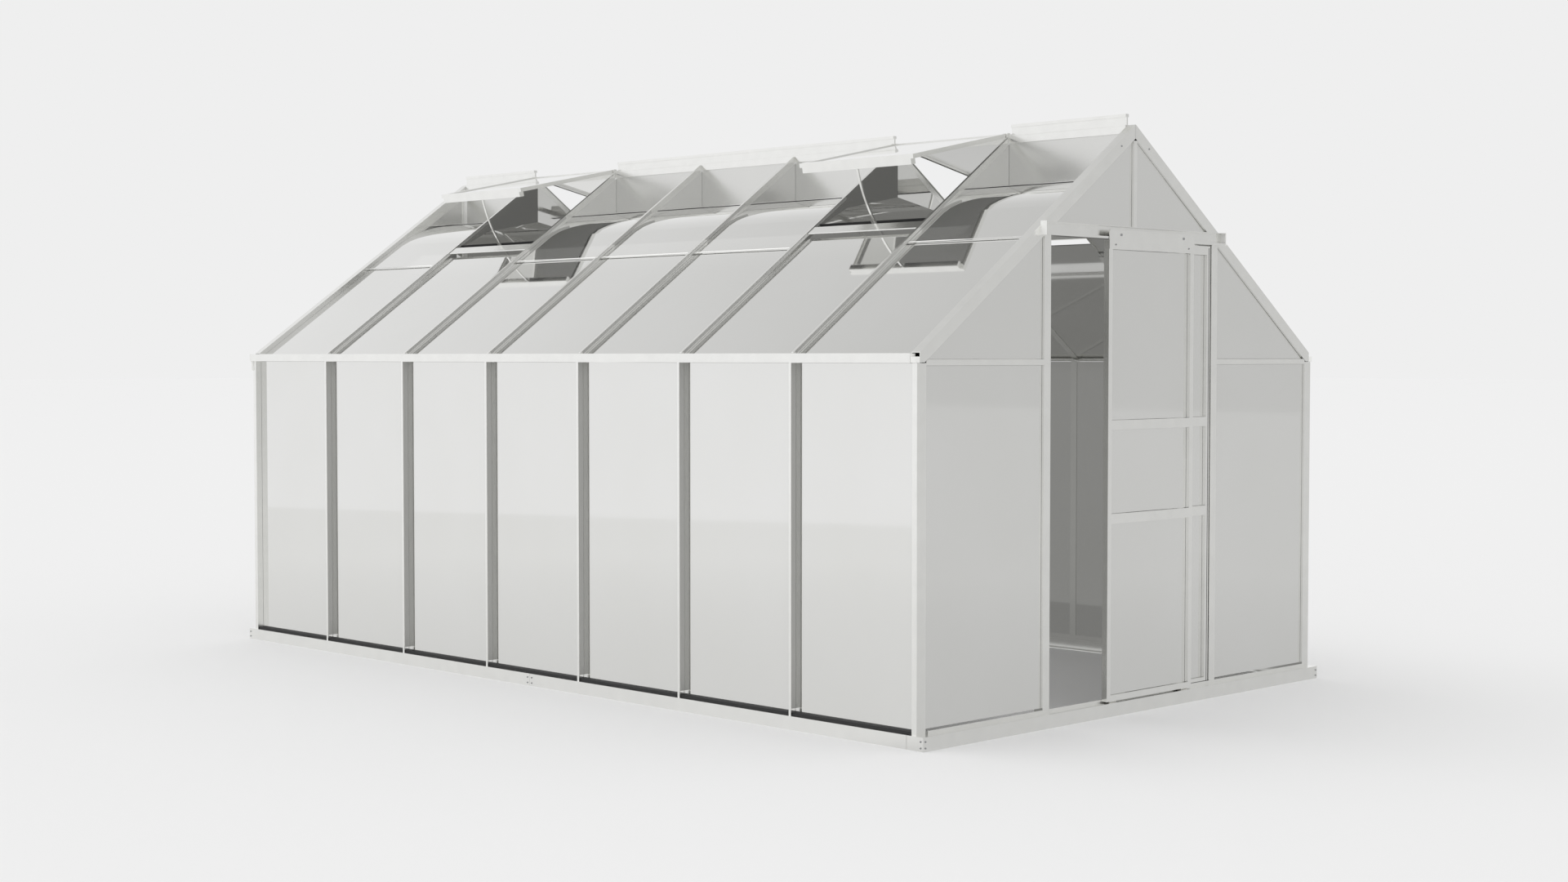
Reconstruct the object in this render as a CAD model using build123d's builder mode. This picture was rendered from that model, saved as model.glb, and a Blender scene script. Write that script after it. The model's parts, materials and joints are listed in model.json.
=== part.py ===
"""Walk-in aluminium greenhouse with opal panes: a base frame, walls, gables, a roof in seven bays,
four hinged roof vents with quadrant stays, and a pair of bypass sliding doors on rollers.

Frame: millimetres, +Z up, the ridge along Y. The origin is the centre of the base on the ground,
the door is in the gable at -Y. Left is -X, right is +X. The vents stand open, the outer door is part open.
"""
import os
from math import atan2, cos, degrees, radians, sin, tan

from build123d import *

os.makedirs("parts", exist_ok=True)

# ---------------------------------------------------------------- driving dimensions (mm)
# overall
bay_pitch = 620.0          # one pane and its share of a glazing bar
bay_count = 7              # bays along each side
end_allowance = 15.0       # from the last bay line to the outer face of a corner post
half_w = 1275.0            # outer face of the side walls
half_l = bay_pitch * bay_count / 2 + end_allowance
apex_z = 2300.0            # where the tops of the rafters would meet
eave_z = 1401.0            # top of a rafter at the outer face of the side wall

# base frame
base_h = 52.0
base_side_over = 10.0      # how far the base stands out beyond the side walls
base_end_over = 40.0       # how far it stands out beyond the gables
base_wall = 2.5
base_side_w = 50.0         # width of the top of a side rail
base_end_w = 80.0          # width of the top of an end rail
base_gap = 0.5             # play at the butt joints

# sections
wall = 2.5                 # wall of the extruded bars
post_x = 47.0              # corner post, across the gable
post_y = 24.0              # corner post, along the side
bar_cap = 12.0             # width of a glazing bar's outer cap
bar_cap_t = 2.0
bar_foot = 34.0            # width of its inner flange
side_recess = 30.0         # outer face of the side wall to the pane
roof_recess = 22.0         # top of the rafters to the lower roof pane
gable_recess = 10.0        # outer face of the gable to the pane
pane_t = 4.0
pane_gap = 1.0             # play between a pane's edge and a bar
pane_lift = 10.0           # gap below the wall panes
gable_bar_y = 40.0         # gable rafter and jamb, front to back
gable_bar_d = 45.0         # gable rafter, across the slope
jamb_w = 40.0
stud_w = 22.0
stud_y = 24.0
stud_wall = 2.0
transom_h = 22.0
joint_gap = 0.5            # play between a transom and its studs
sill_t = 2.0
sill_back_h = 24.0         # upstand behind the panes
sill_in = 8.0              # side sill's outer edge, in from the outer face of the wall
front_pane_foot = 18.0     # front gable panes above the base

# eaves and ridge
gutter_out = 11.0          # how far the gutter stands out beyond the side wall
gutter_w = 24.0            # width of the trough
gutter_h = 35.0
gutter_wall = 2.0
gutter_front_y = 25.0      # the trough stops this far short of the front gable
gutter_rear_y = 15.0       # and passes the rear gable by this much
gutter_over = 5.0          # top of the trough above the tops of the rafters at the wall
gutter_lip = 6.0           # inner lip of the trough
gutter_leg = 26.0          # flange that runs back over the heads of the mullions
gutter_end_h = 20.0        # height of the end plates
ridge_w = 20.0
ridge_h = 30.0
ridge_drop = 2.0           # ridge beam below the point where the rafters' tops would meet
crest_h = 46.0             # ridge crest strip
crest_head_w = 20.0
crest_head_h = 12.0
crest_web = 8.0
crest_foot_w = 26.0
crest_foot_h = 3.0
crest_back = 16.0          # how far a crest strip stops short of the rafter line beside a vent

# recessed ridge glazing
recess_d = 204.0           # apex to the foot of the riser panel, where the bent sheets meet it
riser_t = 5.0
sheet_fall = 0.125         # slope of the flat top of a bent sheet
bend_x = 315.0             # where the flat top and the steep part would meet
bend_r = 640.0
lap_s = 768.0              # distance down the slope of the lower edge of a bent sheet
lap = 20.0                 # overlap on the pane below
lap_recess = 16.0          # top of the rafters to the sheet at its lower edge

# vents
vent_bays = (1, 5)         # counted from 0 at the front
vent_over = 8.0            # how much longer than a bay a sash is
vent_hinge_x = 20.0
vent_len = 589.0           # hinge line to the free edge
vent_open = 23.44          # how far a sash stands open, degrees
vent_top = 8.0             # top of a sash above its hinge line
vent_under = 10.0          # underside of a side bar below its hinge line
vent_rail_h = 41.0         # height of the rail at the free edge
vent_rail_t = 25.0
vent_skirt_in = 20.0       # the rail's lower part drops between the rafters, this much shorter than a bay
vent_bar_w = 20.0
vent_wall = 2.0            # wall of the sash's channels, open below
vent_head = (8.0, 24.0)    # cross bar of the sash, from and to this distance below the hinge line
vent_knuckle_r = 9.0
vent_pin_r = 4.0
pin_clear = 0.06
lug_t = 6.0
lug_h = 18.0
lug_gap = 2.5
stay_in = 8.0              # quadrant stay, in from the sash's free edge
stay_t = 6.0
stay_w = 10.0
stay_end = 48.0            # lower end of the open stay, degrees below level
vent_sill_gap = 48.0       # length of a sash to the distance down the slope to its sill
vent_sill_w = 48.0
vent_sill_d = 24.0
vent_rebate = 37.0
vent_rebate_d = 23.0
stay_slot = 30.0
stay_play = 0.15           # from the rail's underside to the stay, degrees

# doors
jamb_in = 525.0            # half of the clear width between the jambs
header_over = 20.0         # how far the header passes the jambs
header_rear_play = 5.4     # the rear channel fits between the gable rafters
header_rear_in = 36.5      # and ends at least this far inside the jambs
header_z = 1847.0
header_h = 50.0
cap_t = 4.0                # end caps of the header
cap_over = 3.0
track_t = 2.5
track_lip = 9.0
track_w = 26.0
rear_track_w = 28.0
leaf_w = 563.0
leaf_y = 24.0              # thickness of a leaf
leaf_foot = 57.0
leaf_head_gap = 4.0
stile_w = 24.0
leaf_recess = 15.0
rail_z = (766.0, 1129.0)   # middles of the two cross rails
rail_h = 38.0
leaf_end_rail_h = 22.0
leaf_head_rail_h = 36.0
outer_leaf_x = -203.0      # left edge of the outer leaf where it stands
hanger_play = 1.0          # front channel to the outer leaf's hanger plate
inner_leaf_in = 5.0        # front face of the inner leaf, in from the gable
hanger_t = 2.5
leaf_play = 3.0            # inner leaf to the right jamb
hanger_up = 35.0           # hanger plate above and below the underside of the header
hanger_down = 39.0
hanger_in = 30.0           # the inner hanger plate is this much shorter at each end
roller_r = 14.0
roller_w = 10.0
roller_in = 75.0           # axle to the edge of the leaf
roller_play = 0.2
axle_r = 3.0
axle_clear = 0.06
axle_head_r = 5.0
axle_head_t = 2.0
spacer_r = 5.0
axle_washer_t = 3.0
leaf_wall = 2.0
hanger_screw_in = 40.0
hanger_screw_down = 22.0

# fasteners
screw_r = 2.0
screw_head_r = 3.5
screw_head_t = 1.5
screw_len = 5.5
screw_clear = 0.2
corner_screw_in = 12.0
splice_screw_y = 14.0
base_screw_z = (13.0, 36.0)
apex_bolt_x = 90.0
apex_bolt_d = 22.0
plate_h = 40.0
corner_plate = 60.0
splice_len = 120.0

# ---------------------------------------------------------------- worked out from them
slope = atan2(apex_z - eave_z, half_w)
gutter_top = eave_z + gutter_over
ridge_top = apex_z - ridge_drop
riser_foot = apex_z - recess_d
vent_hinge_z = apex_z
stay_r = vent_len - stay_in
vent_w = bay_pitch + vent_over
vent_skirt_w = bay_pitch - vent_skirt_in
vent_sill_s = vent_len + vent_sill_gap
base_x = half_w + base_side_over
base_y = half_l + base_end_over
bar_ys = [(k - (bay_count - 2) / 2) * bay_pitch for k in range(bay_count - 1)]
bay_lines = [-half_l + gable_bar_y] + bar_ys + [half_l - gable_bar_y]
wall_pane_x = half_w - side_recess
post_top = gutter_top - gutter_h
gutter_x = half_w + gutter_out
rafter_foot_x = gutter_x - gutter_w - 1.0
bar_foot_d = roof_recess + pane_t
web_end_d = bar_foot_d + wall
glazed_foot = base_h + pane_lift
sill_lip_h = 12.0
transom_z = post_top - 9.0
vent_ys = [(bay_lines[b] + bay_lines[b + 1]) / 2 for b in vent_bays]
vent_level = degrees(slope) - vent_open
lap_x = lap_s * cos(slope)
header_top = header_z + header_h
leaf_head = header_z - leaf_head_gap
header_half = jamb_in + jamb_w + header_over
web_y = -half_l - track_t
outer_leaf_y = -half_l - track_w - hanger_play
inner_leaf_y = -half_l + inner_leaf_in
inner_leaf_x = jamb_in - leaf_play - leaf_w
hanger_top = header_z + hanger_up
hanger_foot = header_z - hanger_down
hanger_screw_z = header_z - hanger_screw_down
axle_z = header_z + track_t + roller_play + roller_r


def slope_z(x, depth):
    """Height of the line that lies depth below the rafters' tops, at a distance x from the ridge."""
    return apex_z - x * tan(slope) - depth / cos(slope)


def slope_x(z, depth):
    """Distance from the ridge at which that line has the height z."""
    return (apex_z - depth / cos(slope) - z) / tan(slope)


# section of a bent sheet, on the right of the ridge: a flat top, a bend and a steep part that laps on the
# pane below
sheet_start_x = riser_t / 2 + pane_gap
sheet_bend = (bend_x, riser_foot - sheet_fall * bend_x)
sheet_end = (lap_x, slope_z(lap_x, lap_recess))
sheet_flat = atan2(sheet_fall, 1)
sheet_steep = atan2(sheet_bend[1] - sheet_end[1], sheet_end[0] - sheet_bend[0])
sheet_half_turn = (sheet_steep - sheet_flat) / 2
bend_cut = bend_r * (1 / cos(sheet_half_turn) - 1) / cos(sheet_flat + sheet_half_turn)
bend_reach = bend_r * tan(sheet_half_turn) * cos(sheet_steep)


def across(y):
    """A sketch plane across the ridge at y: its x is X and its y is Z."""
    return Plane.XZ.offset(-y)


def face_of(points, side=1):
    """A polygon from (distance from the ridge, height) points, on one side of the ridge."""
    Polygon(*[(side * x, z) for x, z in points], align=None)


def slope_band(side, x0, x1, d0, d1):
    """The part of the roof's section between two depths and two plumb cuts."""
    corners = [(x0, slope_z(x0, d0)), (x1, slope_z(x1, d0)), (x1, slope_z(x1, d1)), (x0, slope_z(x0, d1))]
    face_of(corners, side)


def finish(builder, name):
    """Label a finished piece and write it."""
    builder.part.label = name
    export_step(builder.part, f"parts/{name}.step")


def block(x0, x1, y0, y1, z0, z1, mode=Mode.ADD):
    """A rectangular block between two corners."""
    with Locations(((x0 + x1) / 2, (y0 + y1) / 2, (z0 + z1) / 2)):
        Box(abs(x1 - x0), abs(y1 - y0), abs(z1 - z0), mode=mode)


def tube(x0, x1, y0, y1, z0, z1, t=wall):
    """An upright rectangular tube."""
    block(x0, x1, y0, y1, z0, z1)
    block(min(x0, x1) + t, max(x0, x1) - t, y0 + t, y1 - t, z0, z1, Mode.SUBTRACT)


def bore(x, y, z, axis, radius, length, mode=Mode.ADD):
    """A round bar or hole centred at a point, along X or Y."""
    turn = (0, 90, 0) if axis == "x" else (90, 0, 0)
    with Locations(Location((x, y, z), turn)):
        Cylinder(radius, length, mode=mode)


def bay_span(k):
    """Clear pane width of bay k as its two ends in Y."""
    first = bay_lines[k] + (pane_gap if k == 0 else wall / 2 + pane_gap)
    last = bay_lines[k + 1] - (pane_gap if k == bay_count - 1 else wall / 2 + pane_gap)
    return first, last


# ---------------------------------------------------------------- base frame
def screw_spots():
    """Base screws as (x, y, z, axis, outward sign)."""
    spots = []
    for z in base_screw_z:
        for sx in (-1, 1):
            for sy in (-1, 1):
                spots.append((sx * base_x, sy * (base_y - corner_screw_in), z, "x", sx))
                spots.append((sx * (base_x - corner_screw_in), sy * base_y, z, "y", sy))
                spots.append((sx * base_x, sy * splice_screw_y, z, "x", sx))
    return spots


def screw_holes():
    """Clearance holes for the base screws."""
    for x, y, z, axis, _ in screw_spots():
        bore(x, y, z, axis, screw_r + screw_clear, 6 * base_wall, Mode.SUBTRACT)


with BuildPart() as base_end_rails:
    for sy in (-1, 1):
        y_out, y_in = sy * base_y, sy * (base_y - base_end_w)
        block(-base_x, base_x, y_out, y_in, 0, base_h)
        block(-base_x + base_wall, base_x - base_wall, y_out - sy * base_wall, y_in, 0, base_h - base_wall,
              Mode.SUBTRACT)
    fillet(base_end_rails.edges().filter_by(Axis.Z).group_by(Axis.X)[0], base_wall * 0.9)
    fillet(base_end_rails.edges().filter_by(Axis.Z).group_by(Axis.X)[-1], base_wall * 0.9)
    screw_holes()
finish(base_end_rails, "base_end_rails")

for side, side_name in ((-1, "left"), (1, "right")):
    with BuildPart() as base_side_rails:
        for sy in (-1, 1):
            y0, y1 = sy * base_gap / 2, sy * (base_y - base_end_w - base_gap)
            x_out, x_in = side * base_x, side * (base_x - base_side_w)
            block(x_out, x_in, y0, y1, 0, base_h)
            block(x_out - side * base_wall, x_in, y0, y1, base_wall, base_h - base_wall, Mode.SUBTRACT)
            block(x_out - side * base_side_w / 2, x_in, y0, y1, 0, base_wall, Mode.SUBTRACT)
        screw_holes()
    finish(base_side_rails, f"base_{side_name}_rails")

with BuildPart() as base_joining_plates:
    plate_z0 = (base_h - plate_h) / 2
    for sx in (-1, 1):
        x_face = sx * (base_x - base_wall)
        for sy in (-1, 1):
            y_face = sy * (base_y - base_wall)
            block(x_face, x_face - sx * base_wall, y_face, y_face - sy * corner_plate, plate_z0,
                  plate_z0 + plate_h)
            block(x_face, x_face - sx * corner_plate, y_face, y_face - sy * base_wall, plate_z0,
                  plate_z0 + plate_h)
        block(x_face, x_face - sx * base_wall, -splice_len / 2, splice_len / 2, plate_z0, plate_z0 + plate_h)
    screw_holes()
finish(base_joining_plates, "base_joining_plates")

# ---------------------------------------------------------------- sills
with BuildPart() as wall_sills:
    for sx in (-1, 1):
        back = sx * (wall_pane_x - pane_t - joint_gap)
        run = half_l - post_y - pane_gap
        block(sx * (half_w - sill_in), back, -run, run, base_h, base_h + sill_t)
        block(back, back - sx * sill_t, -run, run, base_h, base_h + sill_back_h)
    rear = half_l - gable_recess - pane_t - joint_gap
    span = half_w - post_x - pane_gap
    block(-span, span, half_l - sill_t, rear, base_h, base_h + sill_t)
    block(-span, span, rear - sill_t, rear, base_h, base_h + sill_back_h)
finish(wall_sills, "wall_sills")

with BuildPart() as front_sill:
    # the lip passes the left post's edge by a notch and stops short of the right corner
    left_end = -half_w + post_x + 10
    block(left_end, half_w - 12, -half_l - wall, -half_l, base_h, base_h + sill_lip_h)
    for x0, x1 in ((left_end, -jamb_in - jamb_w - pane_gap), (-jamb_in + pane_gap, jamb_in - pane_gap),
                   (jamb_in + jamb_w + pane_gap, half_w - post_x - pane_gap)):
        block(x0, x1, -half_l, -half_l + gable_bar_y - 2 * wall, base_h, base_h + sill_t)
finish(front_sill, "front_sill")

# ---------------------------------------------------------------- walls
with BuildPart() as corner_posts:
    for sx in (-1, 1):
        for sy in (-1, 1):
            y0, y1 = sorted((sy * half_l, sy * (half_l - post_y)))
            tube(sx * half_w, sx * (half_w - post_x), y0, y1, base_h, post_top)
    fillet(corner_posts.edges().filter_by(Axis.Z).filter_by(
        lambda e: abs(abs(e.center().X) - half_w) < 0.1 and abs(abs(e.center().Y) - half_l) < 0.1), 2.0)
finish(corner_posts, "corner_posts")

with BuildPart() as wall_mullions:
    for sx in (-1, 1):
        inner = wall_pane_x - pane_t - joint_gap
        for y in bar_ys:
            with BuildSketch(Plane.XY.offset(base_h)):
                for x0, x1, w in ((half_w, half_w - bar_cap_t, bar_cap), (half_w - bar_cap_t, inner, wall),
                                  (inner, inner - bar_cap_t, bar_foot)):
                    with Locations((sx * (x0 + x1) / 2, y)):
                        Rectangle(abs(x1 - x0), w)
            extrude(amount=post_top - base_h)
    for sx in (-1, 1):
        block(sx * (half_w - sill_in), sx * (inner - sill_t), -half_l, half_l, base_h, base_h + sill_back_h,
              Mode.SUBTRACT)
finish(wall_mullions, "wall_mullions")

for side, side_name in ((-1, "left"), (1, "right")):
    with BuildPart() as wall_panes:
        for k in range(bay_count):
            y0, y1 = bay_span(k)
            if k == 0:
                y0 = -half_l + post_y + pane_gap
            if k == bay_count - 1:
                y1 = half_l - post_y - pane_gap
            block(side * wall_pane_x, side * (wall_pane_x - pane_t), y0, y1, glazed_foot, post_top - 1)
    finish(wall_panes, f"{side_name}_wall_panes")

with BuildPart() as eave_gutters:
    for sx in (-1, 1):
        z0 = gutter_top - gutter_h
        trough = gutter_x - gutter_w
        profile = [(gutter_x, z0), (gutter_x, gutter_top), (gutter_x - gutter_wall, gutter_top),
                   (gutter_x - gutter_wall, z0 + gutter_wall), (trough + gutter_wall, z0 + gutter_wall),
                   (trough + gutter_wall, z0 + gutter_lip), (trough, z0 + gutter_lip),
                   (trough, z0 + gutter_wall), (trough - gutter_leg, z0 + gutter_wall),
                   (trough - gutter_leg, z0)]
        with BuildSketch(across(-half_l + gutter_front_y)):
            face_of(profile, sx)
        extrude(amount=-(2 * half_l - gutter_front_y + gutter_rear_y))
        for y_end in (-half_l + gutter_front_y, half_l + gutter_rear_y):
            inward = 1 if y_end < 0 else -1
            block(sx * gutter_x, sx * trough, y_end, y_end + inward * gutter_wall, z0,
                  z0 + gutter_end_h)
finish(eave_gutters, "eave_gutters")

# ---------------------------------------------------------------- roof bars
with BuildPart() as roof_rafters:
    ridge_x = ridge_w / 2 + joint_gap
    foot_from = lap_s * cos(slope)
    for sx in (-1, 1):
        for y in bar_ys:
            for x0, x1, d0, d1, w in ((ridge_x, rafter_foot_x, 0, bar_cap_t, bar_cap),
                                      (ridge_x, rafter_foot_x, bar_cap_t, web_end_d, wall),
                                      (foot_from, rafter_foot_x, bar_foot_d + joint_gap, web_end_d,
                                       bar_foot)):
                with BuildSketch(across(y)):
                    slope_band(sx, x0, x1, d0, d1)
                extrude(amount=w / 2, both=True)
finish(roof_rafters, "roof_rafters")

with BuildPart() as rafter_gussets:
    # a gusset closes the side of the ridge recess: from the web down past the bent sheet
    drop = 12.0
    root_x = joint_gap
    meet_x = bend_x + bend_reach
    for sx in (-1, 1):
        for y in bar_ys:
            with BuildSketch(across(y)):
                face_of([(root_x, slope_z(root_x, web_end_d)), (meet_x, slope_z(meet_x, web_end_d)),
                         (bend_x, sheet_bend[1] - bend_cut - pane_t - drop),
                         (root_x, riser_foot - pane_t - drop)], sx)
            extrude(amount=wall / 2, both=True)
finish(rafter_gussets, "rafter_gussets")

with BuildPart() as gable_rafters:
    foot_z = post_top + gutter_wall + joint_gap
    for sx in (-1, 1):
        for sy in (-1, 1):
            y_mid = sy * (half_l - gable_bar_y / 2)
            for grow, mode in ((0, Mode.ADD), (wall, Mode.SUBTRACT)):
                d0, d1 = grow, gable_bar_d - grow
                points = [(joint_gap, slope_z(joint_gap, d0)), (rafter_foot_x, slope_z(rafter_foot_x, d0)),
                          (rafter_foot_x, foot_z), (slope_x(foot_z, d1), foot_z),
                          (joint_gap, slope_z(joint_gap, d1))]
                with BuildSketch(across(y_mid)):
                    face_of(points, sx)
                extrude(amount=gable_bar_y / 2 - grow, both=True, mode=mode)
            bolt_z = slope_z(apex_bolt_x, apex_bolt_d)
            bore(sx * apex_bolt_x, sy * half_l, bolt_z, "y", screw_r + screw_clear, 6 * wall, Mode.SUBTRACT)
finish(gable_rafters, "gable_rafters")

with BuildPart() as ridge_beam:
    run = half_l - gable_bar_y - pane_gap
    block(-ridge_w / 2, ridge_w / 2, -run, run, ridge_top - ridge_h, ridge_top)
    block(-ridge_w / 2 + wall, ridge_w / 2 - wall, -run, run, ridge_top - ridge_h + wall, ridge_top - wall,
          Mode.SUBTRACT)
finish(ridge_beam, "ridge_beam")

with BuildPart() as ridge_lugs:
    # ears on the ridge that carry the pins of the sashes
    for sx in (-1, 1):
        for yc in vent_ys:
            for sy in (-1, 1):
                y_mid = yc + sy * (vent_w / 2 + lug_gap + lug_t / 2)
                block(sx * ridge_w / 2, sx * (vent_hinge_x + 8), y_mid - lug_t / 2, y_mid + lug_t / 2,
                      vent_hinge_z - lug_h / 2, vent_hinge_z + lug_h / 2)
                bore(sx * vent_hinge_x, y_mid, vent_hinge_z, "y", vent_pin_r + pin_clear, 4 * lug_t,
                     Mode.SUBTRACT)
finish(ridge_lugs, "ridge_lugs")

with BuildPart() as ridge_crest_strips:
    ends = [-half_l + gable_bar_y + pane_gap]
    for b in sorted(vent_bays):
        ends += [bay_lines[b] - crest_back, bay_lines[b + 1] + crest_back]
    ends.append(half_l - gable_bar_y - pane_gap)
    for y0, y1 in zip(ends[0::2], ends[1::2]):
        z0 = ridge_top
        block(-crest_foot_w / 2, crest_foot_w / 2, y0, y1, z0, z0 + crest_foot_h)
        block(-crest_web / 2, crest_web / 2, y0, y1, z0 + crest_foot_h, z0 + crest_h - crest_head_h)
        block(-crest_head_w / 2, crest_head_w / 2, y0, y1, z0 + crest_h - crest_head_h, z0 + crest_h)
finish(ridge_crest_strips, "ridge_crest_strips")

# ---------------------------------------------------------------- roof glazing
glazed_bays = [k for k in range(bay_count) if k not in vent_bays]

with BuildPart() as ridge_riser_panels:
    for k in glazed_bays:
        y0, y1 = bay_span(k)
        block(-riser_t / 2, riser_t / 2, y0, y1, riser_foot - pane_t, ridge_top - ridge_h)
finish(ridge_riser_panels, "ridge_riser_panels")

for side, side_name in ((-1, "left"), (1, "right")):
    with BuildPart() as roof_panes:
        for k in range(bay_count):
            y0, y1 = bay_span(k)
            top_s = vent_sill_s + vent_sill_w - 1 if k in vent_bays else lap_s - lap
            with BuildSketch(across((y0 + y1) / 2)):
                slope_band(side, top_s * cos(slope), rafter_foot_x, roof_recess, roof_recess + pane_t)
            extrude(amount=(y1 - y0) / 2, both=True)
    finish(roof_panes, f"{side_name}_roof_panes")

    with BuildPart() as upper_sheets:
        start = (sheet_start_x, riser_foot - sheet_fall * sheet_start_x)
        inset = pane_t / cos(sheet_half_turn)
        lean = sheet_flat + sheet_half_turn
        inner_bend = (sheet_bend[0] - inset * sin(lean), sheet_bend[1] - inset * cos(lean))
        inner_start = (sheet_start_x, start[1] - pane_t / cos(sheet_flat))
        inner_end = (sheet_end[0] - pane_t * sin(sheet_steep), sheet_end[1] - pane_t * cos(sheet_steep))
        for k in glazed_bays:
            y0, y1 = bay_span(k)
            with BuildSketch(across((y0 + y1) / 2)) as section:
                face_of([start, sheet_bend, sheet_end, inner_end, inner_bend, inner_start], side)
                for corner, radius in ((sheet_bend, bend_r), (inner_bend, bend_r - pane_t)):
                    spot = (side * corner[0], corner[1])
                    fillet(section.vertices().sort_by_distance(spot)[0], radius)
            extrude(amount=(y1 - y0) / 2, both=True)
    finish(upper_sheets, f"{side_name}_upper_sheets")

with BuildPart() as vent_sills:
    for sx in (-1, 1):
        for b, yc in zip(vent_bays, vent_ys):
            y0, y1 = bay_span(b)
            s0, s1 = vent_sill_s, vent_sill_s + vent_sill_w
            half = (y1 - y0) / 2
            for a, b_s, d0, d1, mode in ((s0, s1, 2.5, vent_sill_d, Mode.ADD),
                                         (s0 + 2.5, s1 + 5, 5.0, vent_sill_d + 5, Mode.SUBTRACT),
                                         (s0 - vent_rebate, s0 + 2.5, vent_rebate_d, vent_rebate_d + 2.5,
                                          Mode.ADD)):
                with BuildSketch(across(yc)):
                    slope_band(sx, a * cos(slope), b_s * cos(slope), d0, d1)
                extrude(amount=half, both=True, mode=mode)
            slot_x = (s0 - vent_rebate / 2) * cos(slope)
            block(sx * (slot_x - 60), sx * (s0 - 4) * cos(slope), yc - stay_slot / 2, yc + stay_slot / 2,
                  slope_z(slot_x, 80), slope_z(slot_x, -60), Mode.SUBTRACT)
finish(vent_sills, "vent_sills")

# ---------------------------------------------------------------- gables
gable_pane_y = half_l - gable_recess
inner_x = half_w - post_x
transom_x = jamb_in + jamb_w
pane_tip = 3.0             # play at the sharp tip of a gable pane


def gable_pane(points, sy):
    """One gable pane from (x, z) corners."""
    with BuildSketch(across(sy * (gable_pane_y - pane_t / 2))) as outline:
        Polygon(*points, align=None)
    extrude(outline.sketch, amount=pane_t / 2, both=True)


def under_rafter(x):
    """Height of a gable rafter's underside less the play of a pane."""
    return slope_z(x, gable_bar_d) - pane_gap / cos(slope)


with BuildPart() as front_transoms:
    # each transom's outer end is cut to the underside of the gable rafter
    over = 30.0
    z0, z1 = transom_z, transom_z + transom_h
    foot, head = z0 - over, z1 + over
    for sx in (-1, 1):
        x0, x1 = sorted((sx * transom_x, sx * inner_x))
        block(x0, x1, -half_l, -half_l + stud_y, z0, z1)
        block(x0, x1, -half_l + wall, -half_l + stud_y - wall, z0 + wall, z1 - wall, Mode.SUBTRACT)
        with BuildSketch(across(-half_l + stud_y / 2)):
            x_head, x_foot = (slope_x(z, gable_bar_d + pane_gap) for z in (head, foot))
            face_of([(x_head, head), (x_foot, foot), (x_foot, head)], sx)
        extrude(amount=stud_y, both=True, mode=Mode.SUBTRACT)
finish(front_transoms, "front_transoms")

with BuildPart() as door_jambs:
    # they reach the header, or the gable rafters where those pass above it
    head = max(header_z, slope_z(transom_x, gable_bar_d + joint_gap))
    for sx in (-1, 1):
        x0, x1 = sorted((sx * jamb_in, sx * (jamb_in + jamb_w)))
        tube(x0, x1, -half_l, -half_l + gable_bar_y, base_h, head)
    # the heads are cut to the underside of the gable rafters
    x0, x1 = jamb_in - over, jamb_in + jamb_w + over
    for sx in (-1, 1):
        with BuildSketch(across(-half_l + gable_bar_y / 2)):
            face_of([(x0, slope_z(x0, gable_bar_d + joint_gap)), (x1, slope_z(x1, gable_bar_d + joint_gap)),
                     (x1, head + 2 * over), (x0, head + 2 * over)], sx)
        extrude(amount=gable_bar_y, both=True, mode=Mode.SUBTRACT)
finish(door_jambs, "door_jambs")

with BuildPart() as front_king_stud:
    tube(-stud_w / 2, stud_w / 2, -half_l, -half_l + stud_y, header_top + joint_gap, under_rafter(stud_w / 2),
         stud_wall)
finish(front_king_stud, "front_king_stud")

with BuildPart() as front_gable_panes:
    for sx in (-1, 1):
        x_out, x_in = inner_x - pane_gap, transom_x + pane_gap
        z0, z1 = base_h + front_pane_foot, transom_z - pane_gap
        gable_pane([(sx * x_out, z0), (sx * x_in, z0), (sx * x_in, z1), (sx * x_out, z1)], -1)
        for z0, x_in, limit in ((transom_z + transom_h + pane_gap, x_in, x_out),
                                (header_top + pane_gap, stud_w / 2 + pane_gap, jamb_in - pane_gap)):
            # a pane ends in the sharp corner under the rafter, or square against the upright before it
            tip = slope_x(z0, gable_bar_d) - pane_tip
            corners = [(min(tip, limit), z0), (x_in, z0), (x_in, under_rafter(x_in))]
            if tip > limit:
                corners.append((limit, under_rafter(limit)))
            gable_pane([(sx * x, z) for x, z in corners], -1)
finish(front_gable_panes, "front_gable_panes")

rear_studs = [k * bay_pitch for k in (-1, 0, 1)]
columns = [-inner_x] + rear_studs + [inner_x]


def column_span(x0, x1, gap):
    """Clear width of a rear gable column, less a gap at each side."""
    a = x0 + gap + (0 if x0 == columns[0] else stud_w / 2)
    b = x1 - gap - (0 if x1 == columns[-1] else stud_w / 2)
    return a, b


with BuildPart() as rear_gable_bars:
    for x in rear_studs:
        x_far = abs(x) + stud_w / 2
        tube(x - stud_w / 2, x + stud_w / 2, half_l - stud_y, half_l, base_h + wall, under_rafter(x_far),
             stud_wall)
    reach = slope_x(transom_z + transom_h, gable_bar_d + pane_gap)
    for x0, x1 in zip(columns[:-1], columns[1:]):
        a, b = column_span(x0, x1, joint_gap)
        a, b = max(a, -reach), min(b, reach)
        block(a, b, half_l - stud_y, half_l, transom_z, transom_z + transom_h)
        block(a, b, half_l - stud_y + stud_wall, half_l - stud_wall, transom_z + stud_wall,
              transom_z + transom_h - stud_wall, Mode.SUBTRACT)
    # a slot at the foot of each stud clears the sill's upstand
    block(-span, span, rear - sill_t - joint_gap, rear + joint_gap, base_h, base_h + sill_back_h + joint_gap,
          Mode.SUBTRACT)
finish(rear_gable_bars, "rear_gable_bars")

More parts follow.
